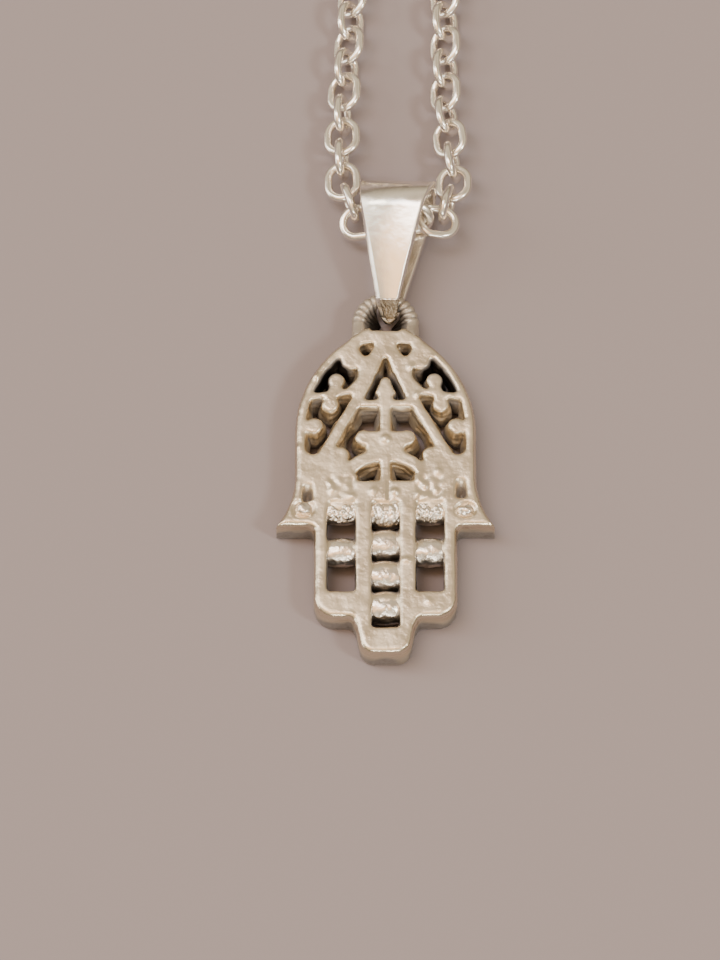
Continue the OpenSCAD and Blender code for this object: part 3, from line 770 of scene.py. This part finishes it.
mark_depth = add_node(tree, "ShaderNodeMath", {
    0: marks.outputs["Fac"], 1: on_facet}, operation="MULTIPLY")
soft_wave = add_node(tree, "ShaderNodeMath", {
    0: wear.outputs["Fac"], 1: 0.2, 2: mark_depth.outputs[0]}, operation="MULTIPLY_ADD")
relief = add_node(tree, "ShaderNodeBump", {
    "Height": soft_wave.outputs[0], "Strength": 0.8, "Distance": 0.1 * MM})
tree.links.new(relief.outputs["Normal"], surface.inputs["Normal"])
surface.inputs["Metallic"].default_value = 1
bail_mesh.materials.append(polished_silver)
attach(bail_piece, "root")
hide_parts("bail")

# The chain is a cable chain of drawn wire, each link bent, closed and soldered, and polished.
# Two strands of links run up from the bail's eye and on round the neck to the clasp. The wire is
# made a little thicker than its 0.45 mm, as it looks in the photograph.
link_len = 2.65
link_w = 2.2
wire_d = 0.45
wire_out = 0.05
wire_in = 0.02
wire_thick = 0.5
link_gap = 0.14
side_links = 121
fine_links = 26
fine_bends, fine_sides = 40, 14
plain_bends, plain_sides = 14, 6
straight = link_len - link_w
pitch = link_len - 2 * wire_d - link_gap
clasp_d = 5.6
clasp_wire = 0.9
loop_d = 2.6
loop_wire = 0.5
end_ring_d = 3.8
end_ring_wire = 0.5
loop_x = clasp_d / 2 + loop_d / 2 - 0.8 * loop_wire
clasp_reach = loop_x + loop_d / 2 - loop_wire - link_gap / 2
hook_reach = clasp_d / 2 - clasp_wire - link_gap
ring_span = end_ring_d - 2 * end_ring_wire - 1.5 * link_gap
clasp_span = clasp_reach + hook_reach + ring_span

# Heading, climb and roll of the first links, and the middle of the very first one on each side
TURNS = {
    -1: [(0, -7, -55), (0, -18, 10), (72, -10, 93), (88, -3, 12)],
    1: [(4, 6, 60), (-3, -12, -4), (72, -24, 82), (88, -10, -12)],
}
FIRST = {-1: (-0.7, 0.24, 2.1), 1: (0.9, 0.34, 2.32)}
turn_links = 4
# The plan of one half from the bail to the clasp: each run's length and the angle it turns through
chain_half = (side_links - turn_links) * pitch + clasp_span / 2
strand_start = (3.17, 3.86)
strand = 14
flare_angle = 35
flare = math.radians(flare_angle)
flare_bend_r = 20
clasp_run = clasp_span / 2 + 2
across = strand_start[0] + flare_bend_r * (1 - math.cos(flare)) - clasp_run
left_over = chain_half - strand - flare_bend_r * flare - clasp_run
great_r = (left_over + across / math.sin(flare)) / (1 / math.tan(flare) + math.pi / 2 + flare)
long_leg = (great_r * math.cos(flare) - across) / math.sin(flare)
ROUTE = [
    (strand, 0),
    (flare_bend_r * flare, -flare),
    (long_leg, 0),
    (great_r * (math.pi / 2 + flare), math.pi / 2 + flare),
    (clasp_run, 0),
]
# How the links lie along each half: length from the strand's start, shift to the right, height
# of their middle and tilt
lie_z = 0.87
clasp_z = 1.45
LIE = {
    -1: [
        (0, 0, 1.08, 14), (2.4, 0, 1.08, 13), (5.6, 0.13, 1.04, 28), (8.8, 0.45, 0.97, 40),
        (15, 0.85, 0.93, 41), (28, 0.6, 0.9, 43), (42, 0.4, lie_z, 45), (63, 0, lie_z, 45),
        (chain_half - 14, 0, lie_z, 45), (chain_half - 5, 0, clasp_z, 45),
    ],
    1: [
        (0, 0, 1.1, 13), (2.4, 0, 1.06, 26), (5.6, 0, 0.97, 37), (15, 0, 0.93, 41),
        (28, 0, 0.9, 43), (42, 0, lie_z, 45), (chain_half - 14, 0, lie_z, 45),
        (chain_half - 5, 0, clasp_z, 0),
    ],
}
below_eye = 0.72
route_shift = 0.22
chain_start = eye + bail_turn @ Vector((0, -below_eye, 0))
route_x = chain_start.x - route_shift
bend_reach = pitch - straight
settle_links = 3


def walked(s):
    """Place in plan at a length s along one half of the route."""
    x, y, heading = strand_start[0], strand_start[1], math.pi / 2
    for run, bend in ROUTE:
        part = min(s, run)
        if bend:
            radius, to = run / bend, heading + bend * part / run
            x += radius * (math.sin(to) - math.sin(heading))
            y += radius * (math.cos(heading) - math.cos(to))
            heading = to
        else:
            x += part * math.cos(heading)
            y += part * math.sin(heading)
        s -= part
        if s <= 0:
            return x, y
    return x + s * math.cos(heading), y + s * math.sin(heading)


def lie_at(side, s, column):
    table = LIE[side]
    return float(np.interp(s, [row[0] for row in table], [row[column] for row in table]))


def turned(side, row):
    heading, climb, roll = row
    return Euler((math.radians(side * roll), math.radians(-climb),
                  math.radians(heading if side > 0 else 180 - heading)), "XYZ")


def on_route(side, joint):
    s = (joint - turn_links) * pitch
    x, y = walked(s)
    return Vector((route_x + side * x + lie_at(side, s, 1), chain_start.y + y, lie_at(side, s, 2)))


def strand_links(side):
    """Middle and turn of every link on one side."""
    places, turns, before = [], [], None
    for row in TURNS[side]:
        turn = turned(side, row)
        matrix = turn.to_matrix()
        if before is None:
            middle = Vector((chain_start.x, chain_start.y, 0)) + Vector(FIRST[side])
        else:
            way = before.col[2].cross(matrix.col[2]).normalized()
            if way.dot(before.col[0]) < 0:
                way.negate()
            middle = places[-1] + bend_reach * way + straight / 2 * (before.col[0] + matrix.col[0])
        places.append(middle)
        turns.append(turn)
        before = matrix
    start = places[-1] + pitch / 2 * before.col[0]
    offset = start - on_route(side, turn_links)
    joints = [
        on_route(side, j) + (1 - min(1, (j - turn_links) / settle_links)) * offset
        for j in range(turn_links, side_links + 1)
    ]
    for i, (a, b) in enumerate(zip(joints, joints[1:]), turn_links):
        run = b - a
        roll = i % 2 * 90 + 90 - lie_at(side, (i - turn_links + 0.5) * pitch, 3)
        places.append((a + b) / 2)
        climb = math.asin(run.z / run.length)
        turns.append(Euler((math.radians(roll), -climb, math.atan2(run.y, run.x)), "XYZ"))
    return places, turns


def link_tree():
    """Geometry nodes that put a closed link of wire on every point."""
    nodes = bpy.data.node_groups.new("cable_links", "GeometryNodeTree")
    nodes.interface.new_socket("Geometry", in_out="INPUT", socket_type="NodeSocketGeometry")
    for name, kind in (
        ("Link length", "Float"), ("Link width", "Float"),
        ("Wire width", "Float"), ("Wire thickness", "Float"),
        ("Fine bends", "Int"), ("Fine sides", "Int"), ("Plain bends", "Int"), ("Plain sides", "Int"),
        ("Finish", "Material"),
    ):
        nodes.interface.new_socket(name, in_out="INPUT", socket_type="NodeSocket" + kind)
    nodes.interface.new_socket("Geometry", in_out="OUTPUT", socket_type="NodeSocketGeometry")
    given = add_node(nodes, "NodeGroupInput").outputs

    def calc(operation, *values):
        inputs = dict(enumerate(values))
        return add_node(nodes, "ShaderNodeMath", inputs, operation=operation).outputs[0]

    bend_half = calc("MULTIPLY", calc("SUBTRACT", given["Link width"], given["Wire width"]), 0.5)
    side_half = calc("MULTIPLY", calc("SUBTRACT", given["Link length"], given["Link width"]), 0.5)
    wire_half = calc("MULTIPLY", given["Wire width"], 0.5)
    flat = calc("DIVIDE", given["Wire thickness"], given["Wire width"])
    where = add_node(nodes, "GeometryNodeInputPosition").outputs[0]
    sign = calc("SIGN", add_node(nodes, "ShaderNodeSeparateXYZ", {0: where}).outputs["X"])
    shift = calc("MULTIPLY", sign, side_half)
    offset = add_node(nodes, "ShaderNodeCombineXYZ", {"X": shift}).outputs[0]
    turn = add_node(nodes, "GeometryNodeInputNamedAttribute", {
        "Name": "turn"}, data_type="FLOAT_VECTOR")
    fine = add_node(nodes, "GeometryNodeInputNamedAttribute", {
        "Name": "fine"}, data_type="BOOLEAN")
    plain = add_node(nodes, "FunctionNodeBooleanMath", {
        0: fine.outputs[0]}, operation="NOT").outputs[0]
    rotation = add_node(nodes, "FunctionNodeEulerToRotation", {0: turn.outputs[0]}).outputs[0]
    joined = add_node(nodes, "GeometryNodeJoinGeometry")
    for bends, sides, chosen in (
        ("Fine bends", "Fine sides", fine.outputs[0]), ("Plain bends", "Plain sides", plain),
    ):
        loop = add_node(nodes, "GeometryNodeCurvePrimitiveCircle", {
            "Resolution": given[bends], "Radius": bend_half})
        oval = add_node(nodes, "GeometryNodeSetPosition", {
            "Geometry": loop.outputs[0], "Offset": offset})
        round_wire = add_node(nodes, "GeometryNodeCurvePrimitiveCircle", {
            "Resolution": given[sides], "Radius": wire_half})
        pressed = add_node(nodes, "ShaderNodeCombineXYZ", {"X": 1.0, "Y": flat, "Z": 1.0})
        wire = add_node(nodes, "GeometryNodeTransform", {
            "Geometry": round_wire.outputs[0], "Scale": pressed.outputs[0]})
        link = add_node(nodes, "GeometryNodeCurveToMesh", {
            "Curve": oval.outputs[0], "Profile Curve": wire.outputs[0]})
        placed = add_node(nodes, "GeometryNodeInstanceOnPoints", {
            "Points": given["Geometry"], "Selection": chosen,
            "Instance": link.outputs[0], "Rotation": rotation})
        nodes.links.new(placed.outputs[0], joined.inputs[0])
    real = add_node(nodes, "GeometryNodeRealizeInstances", {"Geometry": joined.outputs[0]})
    smooth = add_node(nodes, "GeometryNodeSetShadeSmooth", {"Geometry": real.outputs[0]})
    finish = add_node(nodes, "GeometryNodeSetMaterial", {
        "Geometry": smooth.outputs[0], "Material": given["Finish"]})
    add_node(nodes, "NodeGroupOutput", {0: finish.outputs[0]})
    return nodes


def run_tree(piece, nodes, values):
    """Runs a geometry node tree on a piece with the named values and returns the plain mesh."""
    modifier = piece.modifiers.new("nodes", "NODES")
    modifier.node_group = nodes
    for item in nodes.interface.items_tree:
        if item.item_type == "SOCKET" and item.in_out == "INPUT" and item.name in values:
            modifier[item.identifier] = values[item.name]
    return baked(piece)


links = link_tree()
for side, name in ((-1, "chain_left"), (1, "chain_right")):
    places, turns = strand_links(side)
    dots = bpy.data.meshes.new(name + "_places")
    dots.from_pydata([(p - Vector((0, casting_origin_y, 0))) * MM for p in places], [], [])
    angles = [angle for turn in turns for angle in turn]
    is_fine = [i < fine_links for i in range(side_links)]
    dots.attributes.new("turn", "FLOAT_VECTOR", "POINT").data.foreach_set("vector", angles)
    dots.attributes.new("fine", "BOOLEAN", "POINT").data.foreach_set("value", is_fine)
    maker = bpy.data.objects.new(name + "_maker", dots)
    bpy.context.scene.collection.objects.link(maker)
    mesh = run_tree(maker, links, {
        "Link length": (link_len + 2 * wire_out) * MM, "Link width": (link_w + 2 * wire_out) * MM,
        "Wire width": (wire_d + wire_out + wire_in) * MM, "Wire thickness": wire_thick * MM,
        "Fine bends": fine_bends, "Fine sides": fine_sides,
        "Plain bends": plain_bends, "Plain sides": plain_sides,
        "Finish": polished_silver,
    })
    bpy.data.objects.remove(maker)
    chain_piece = bpy.data.objects.new(name + "_links", mesh)
    bpy.context.scene.collection.objects.link(chain_piece)
    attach(chain_piece, "root")
    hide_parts(name)

# The clasp is a plain spring ring with its small loop, and the end ring a plain jump ring.
for name in ("clasp", "end_ring"):
    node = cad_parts[name]
    node.data.materials.clear()
    node.data.materials.append(polished_silver)

# A plain pale floor under the object
floor_mesh = bpy.data.meshes.new("pale_floor")
floor_mesh.from_pydata([(-6, -6, 0), (6, -6, 0), (6, 6, 0), (-6, 6, 0)], [], [(0, 1, 2, 3)])
floor = bpy.data.objects.new("pale_floor", floor_mesh)
bpy.context.scene.collection.objects.link(floor)
floor_paint, tree, surface = new_material("pale_matt_floor")
surface.inputs["Base Color"].default_value = linear("8F8688")
surface.inputs["Roughness"].default_value = 0.9
floor_mesh.materials.append(floor_paint)

# Soft studio light: a room that darkens towards the horizon, with a warm bright patch of ceiling
# on the left above the bail's leaf and a low pale window at the left, and four soft boxes
world = bpy.data.worlds.new("studio")
bpy.context.scene.world = world
world.use_nodes = True
tree = world.node_tree
backdrop = tree.nodes["Background"]
way = add_node(tree, "ShaderNodeTexCoord").outputs["Generated"]
up = add_node(tree, "ShaderNodeSeparateXYZ", {0: way}).outputs["Z"]
ramp = add_node(tree, "ShaderNodeValToRGB", {0: up})
for stop, tone in ((0.0, "3A3026"), (0.3, "C4B49A"), (0.6, "F0E0C6"), (0.86, "CCBA9E")):
    element = ramp.color_ramp.elements.new(stop)
    element.color = linear(tone)
ramp.color_ramp.elements.remove(ramp.color_ramp.elements[0])
ramp.color_ramp.elements[-1].color = linear("AC9A80")
ceiling = Vector((-0.27, -0.17, 1)).normalized()
ceiling_tone = (2.75, 1.7, 0.88, 1)
near_ceiling = add_node(tree, "ShaderNodeVectorMath", {0: way, 1: ceiling}, operation="DOT_PRODUCT")
ceiling_share = add_node(tree, "ShaderNodeMapRange", {
    "Value": near_ceiling.outputs["Value"], "From Min": cos_of(34), "From Max": cos_of(10),
    "To Min": 0.0, "To Max": 1.0}, interpolation_type="SMOOTHSTEP")
room_light = add_node(tree, "ShaderNodeMix", {
    0: ceiling_share.outputs["Result"], 6: ramp.outputs[0], 7: ceiling_tone}, data_type="RGBA")
window = Vector((-0.97, 0.12, 0.15)).normalized()
window_tone = (3.4, 3.2, 2.95, 1)
near_window = add_node(tree, "ShaderNodeVectorMath", {0: way, 1: window}, operation="DOT_PRODUCT")
window_share = add_node(tree, "ShaderNodeMapRange", {
    "Value": near_window.outputs["Value"], "From Min": cos_of(25), "From Max": cos_of(12),
    "To Min": 0.0, "To Max": 1.0}, interpolation_type="SMOOTHSTEP")
all_light = add_node(tree, "ShaderNodeMix", {
    0: window_share.outputs["Result"], 6: room_light.outputs[2], 7: window_tone}, data_type="RGBA")
tree.links.new(all_light.outputs[2], backdrop.inputs["Color"])
backdrop.inputs["Strength"].default_value = 1.08

# Each box has its place, the point it faces, its size, its power and its tint
LIGHTS = [
    ("overhead_strip", (-0.24, 0.085, 0.6), (0.0, 0.0, 0.0), (0.19, 0.45), 1.95, "F8F8FF"),
    ("left_box", (-0.6, 0.15, 0.45), (0.0, 0.0, 0.0), (0.15, 0.15), 0.8, "FFFAF2"),
    ("front_right_box", (0.42, -0.26, 0.52), (0.0, 0.0, 0.0), (0.11, 0.11), 1.8, "FFFCF8"),
    ("front_window", (0.05, -0.65, 0.28), (0.0, 0.0, 0.0), (0.3, 0.05), 1.2, "FFFCF8"),
]
for name, place, aim, size, power, tint in LIGHTS:
    lamp = bpy.data.lights.new(name, "AREA")
    lamp.shape = "RECTANGLE"
    lamp.size, lamp.size_y = size
    lamp.energy = power
    lamp.color = linear(tint)[:3]
    box = bpy.data.objects.new(name, lamp)
    box.location = place
    box.rotation_mode = "QUATERNION"
    box.rotation_quaternion = (Vector(aim) - Vector(place)).to_track_quat("-Z", "Y")
    bpy.context.scene.collection.objects.link(box)

# The photograph looks down at 65 degrees, 0.0606 mm to a pixel, from far away. The hand's origin
# lies at pixel (385.5, 525) of the 720 by 960 picture.
pixel = 0.0606
elevation = 65
photo_high = 960
middle_px = (360, 480)
hand_px = (385.5, 525)
sensor = 36
distance = 1.2
above_aim = (hand_px[1] - middle_px[1]) * pixel + hand_top * cos_of(elevation)
aim_y = above_aim / sin_of(elevation) - casting_origin_y
aim = Vector(((middle_px[0] - hand_px[0]) * pixel, aim_y, 0)) * MM
back = Vector((0, -cos_of(elevation), sin_of(elevation)))
camera_data = bpy.data.cameras.new("camera")
camera_data.sensor_width = sensor
camera_data.lens = sensor * distance / (photo_high * pixel * MM)
camera_data.clip_start = 0.1
camera_data.clip_end = 20
camera = bpy.data.objects.new("camera", camera_data)
camera.location = aim + back * distance
camera.rotation_mode = "QUATERNION"
camera.rotation_quaternion = (-back).to_track_quat("-Z", "Y")
bpy.context.scene.collection.objects.link(camera)
bpy.context.scene.camera = camera
